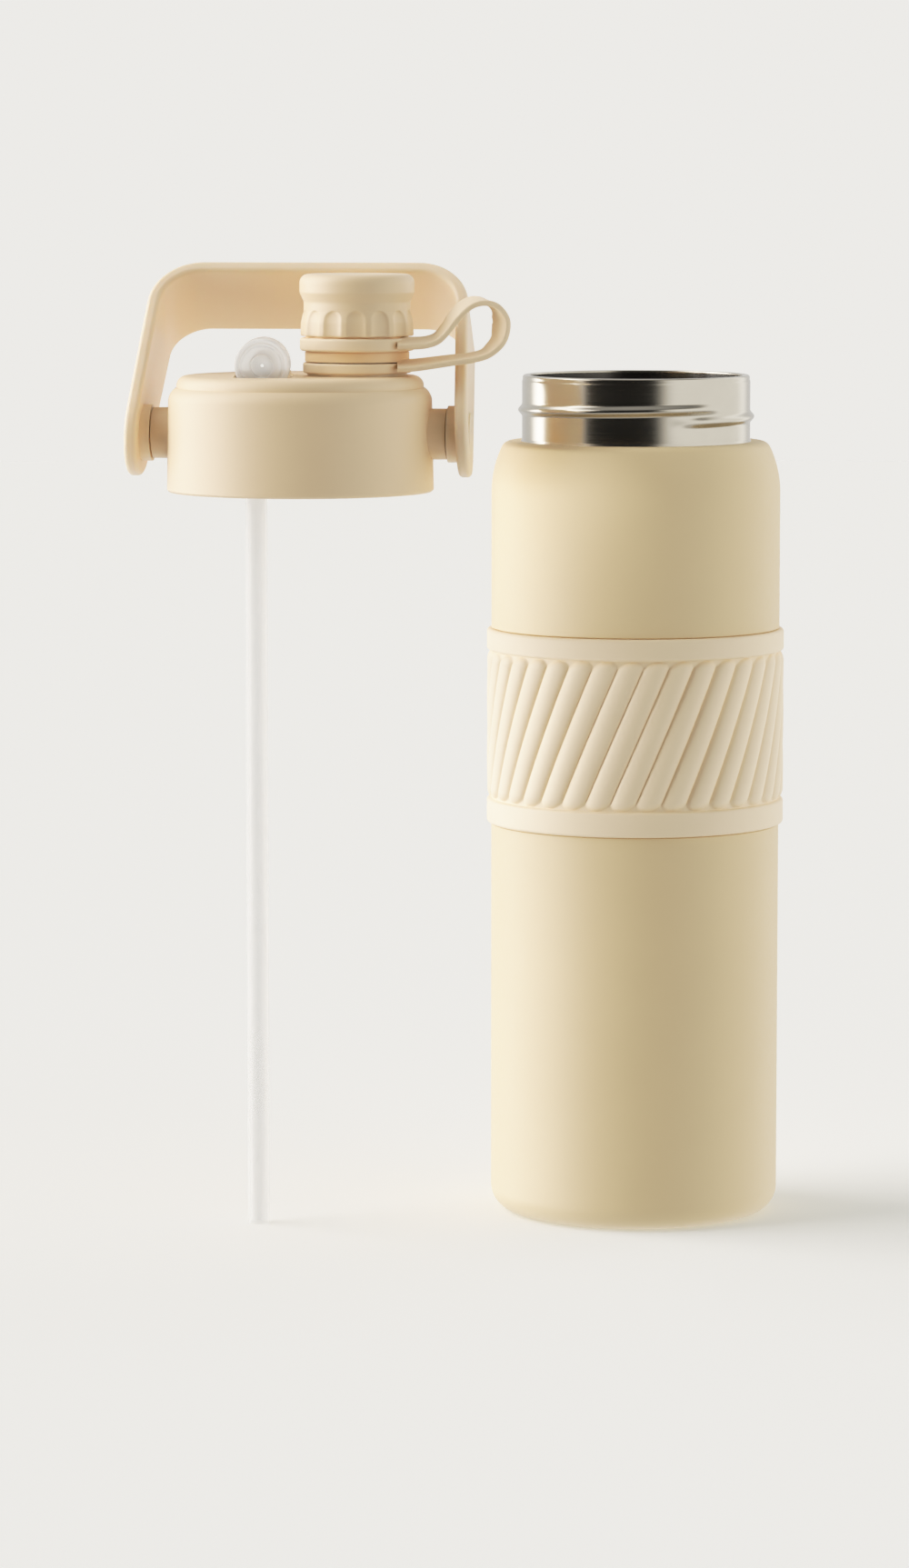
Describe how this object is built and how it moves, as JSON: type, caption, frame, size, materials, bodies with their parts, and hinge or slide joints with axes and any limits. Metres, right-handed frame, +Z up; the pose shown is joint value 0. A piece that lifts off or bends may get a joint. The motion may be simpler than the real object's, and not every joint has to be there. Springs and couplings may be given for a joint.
{
  "type": "insulated water bottle",
  "caption": "Slim vacuum-insulated steel bottle with a ribbed grip sleeve, shown open beside its carry-handle lid with flip nozzle, tethered spout cap and long straw.",
  "frame": {"origin": "centre of the bottle's foot, on the surface it stands on", "axes": "+Z up along the bottle's axis, -Y the front, the lid stands beside the bottle towards -X"},
  "size_m": [0.1675, 0.1016, 0.2448],
  "materials": {
    "body_coat": "matte powder coat, slightly textured, warm beige",
    "bare_steel": "satin, turned round the neck",
    "flask_steel": "electropolished inside, rolled lip",
    "seal_plug": "matte plug",
    "getter_metal": "sintered",
    "sleeve_silicone": "matte silicone, cream",
    "lid_plastic": "fine matte moulding, cream",
    "liner_plastic": "smooth moulding, light cream",
    "tether_silicone": "matte silicone, cream",
    "clear_silicone": "translucent, soft gloss",
    "clear_plastic": "translucent, smooth",
    "straw_plastic": "milky translucent tube",
    "pin_steel": "turned"
  },
  "bodies": {
    "bottle": {"outer_shell": "body_coat", "threaded_neck": "bare_steel", "inner_flask": "flask_steel", "base_plate": "body_coat", "vacuum_seal": "seal_plug", "getter": "getter_metal", "grip_sleeve": "sleeve_silicone"},
    "lid": {"lid_shell": "lid_plastic", "lid_deck": "lid_plastic", "spout_tube": "liner_plastic", "lid_liner": "liner_plastic", "lid_gasket": "clear_silicone", "straw_socket": "clear_silicone", "straw": "straw_plastic", "vent_valve": "clear_silicone", "tether_lower_ring": "tether_silicone", "tether_strap": "tether_silicone", "pivot_pins": "pin_steel"},
    "handle": {"carry_handle": "lid_plastic", "pivot_bushes": "liner_plastic", "pivot_covers": "lid_plastic"},
    "cap_ring": {"tether_upper_ring": "tether_silicone"},
    "cap": {"cap_shell": "lid_plastic", "cap_liner": "liner_plastic", "cap_gasket": "clear_silicone"},
    "nozzle": {"nozzle_carrier": "clear_plastic", "straw_nozzle": "clear_silicone"}
  },
  "joints": [
    {"name": "lid_lift", "type": "slide", "parent": "bottle", "child": "lid", "axis": [0, 0, 1], "range_m": [0, 0.22]},
    {"name": "handle_swing", "type": "hinge", "parent": "lid", "child": "handle", "pos_m": [-0.0852, -0.03, 0.2025], "axis": [0.9945, -0.1045, 0], "range_deg": [-75, 155]},
    {"name": "cap_lift", "type": "slide", "parent": "lid", "child": "cap_ring", "axis": [0, 0, 1], "range_m": [0, 0.012], "deforming": ["tether_strap"]},
    {"name": "cap_turn", "type": "hinge", "parent": "cap_ring", "child": "cap", "pos_m": [-0.0709, -0.03, 0.2325], "axis": [0, 0, 1], "range_deg": [0, 1080]},
    {"name": "nozzle_flip", "type": "hinge", "parent": "lid", "child": "nozzle", "pos_m": [-0.0943, -0.026, 0.2152], "axis": [-1, 0, 0], "range_deg": [0, 90]}
  ],
  "couplings": [
    {"joint": "cap_turn", "follows": "cap_lift", "rad_per_m": 1570.8}
  ]
}
